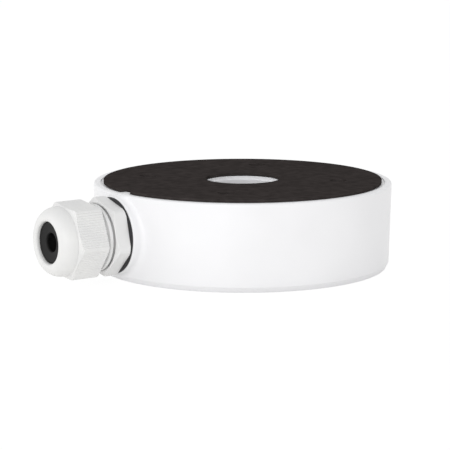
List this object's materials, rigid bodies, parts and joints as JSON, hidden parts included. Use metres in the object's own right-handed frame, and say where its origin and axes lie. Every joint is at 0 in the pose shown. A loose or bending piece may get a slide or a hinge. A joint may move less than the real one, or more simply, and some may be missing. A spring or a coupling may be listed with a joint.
{
  "type": "camera junction box",
  "caption": "Round white die-cast junction box for a security camera, with a foam wall mat, a central cable hole and a cable gland on its side.",
  "frame": {"origin": "centre of the footprint's bounding box, gland included, on the surface that the camera side rests on", "axes": "+Z along the box's axis towards the wall side, -X along the gland's axis towards its mouth"},
  "size_m": [0.1606, 0.127, 0.0373],
  "materials": {
    "powder_coat": "white powder coat on die-cast aluminium, satin with a faint orange-peel texture",
    "plate_coat": "white powder coat, satin",
    "foam": "closed-cell foam rubber, matt with fine pores",
    "nylon_body": "moulded light grey nylon, satin",
    "nylon_nut": "moulded light grey nylon, satin",
    "gasket_rubber": "black rubber, satin",
    "seal_rubber": "black chloroprene rubber, satin",
    "ring_rubber": "black silicone rubber",
    "washer_rubber": "black rubber",
    "zinc_steel": "zinc plated",
    "brass": "plain"
  },
  "bodies": {
    "box": {"housing": "powder_coat", "wall_mat": "foam", "camera_plate": "plate_coat", "plate_seal": "ring_rubber", "gland_washer": "gasket_rubber", "gland_body": "nylon_body", "earth_screw": "zinc_steel", "earth_washer": "brass", "earth_spring_washer": "zinc_steel", "plate_screw_1": "zinc_steel", "plate_screw_washer_1": "washer_rubber", "plate_screw_2": "zinc_steel", "plate_screw_washer_2": "washer_rubber", "plate_screw_3": "zinc_steel", "plate_screw_washer_3": "washer_rubber", "plate_screw_4": "zinc_steel", "plate_screw_washer_4": "washer_rubber"},
    "seal": {"gland_seal": "seal_rubber"},
    "cap_nut": {"gland_cap_nut": "nylon_nut"}
  },
  "joints": [
    {"name": "cap_nut_travel", "type": "slide", "parent": "box", "child": "seal", "axis": [-1, 0, 0], "range_m": [-0.00151, 0.00601]},
    {"name": "cap_nut_turn", "type": "hinge", "parent": "seal", "child": "cap_nut", "pos_m": [-0.0682, 0, 0.01926], "axis": [-1, 0, 0], "range_deg": [-360, 1440]}
  ],
  "couplings": [
    {"joint": "cap_nut_travel", "follows": "cap_nut_turn", "m_per_rad": 0.00023873}
  ]
}
